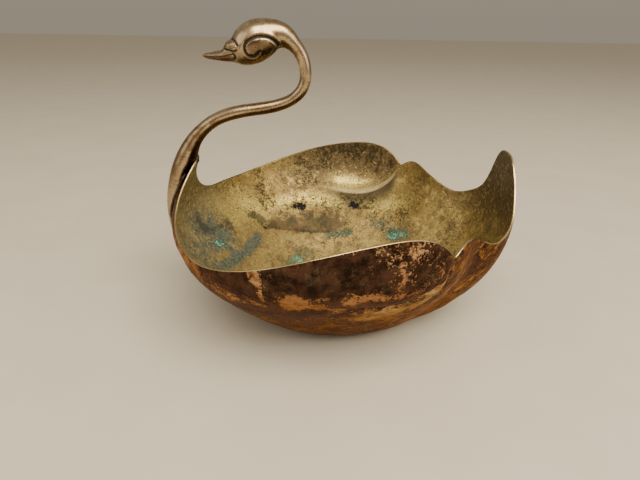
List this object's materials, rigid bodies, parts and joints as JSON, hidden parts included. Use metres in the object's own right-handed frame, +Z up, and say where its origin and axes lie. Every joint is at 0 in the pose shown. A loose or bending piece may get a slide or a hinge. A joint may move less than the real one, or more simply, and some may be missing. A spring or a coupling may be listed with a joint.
{
  "type": "swan-shaped serving dish",
  "caption": "Raised brass dish shaped like a swan, with winged rim, pointed tail and a soldered cast neck and head, for serving sauce or sweets.",
  "frame": {"origin": "on the table, at the middle of the flat oval under the bowl, below the middle of the rim's length", "axes": "+Z up, -X the way the swan faces, +X towards its tail, +Y its right side as it faces -X"},
  "size_m": [0.1978, 0.1956, 0.1695],
  "materials": {
    "bowl_brass": "aged plate worn to brass, speckled and stained inside, dark tarnish in patches outside",
    "neck_plate": "worn silver plate, smooth, with dark grooves",
    "solder": "dull dark solder"
  },
  "bodies": {
    "root": {"bowl_shell": "bowl_brass", "swan_neck": "neck_plate", "solder_cap": "solder", "solder_fillet_left": "solder", "solder_fillet_right": "solder"}
  },
  "joints": []
}
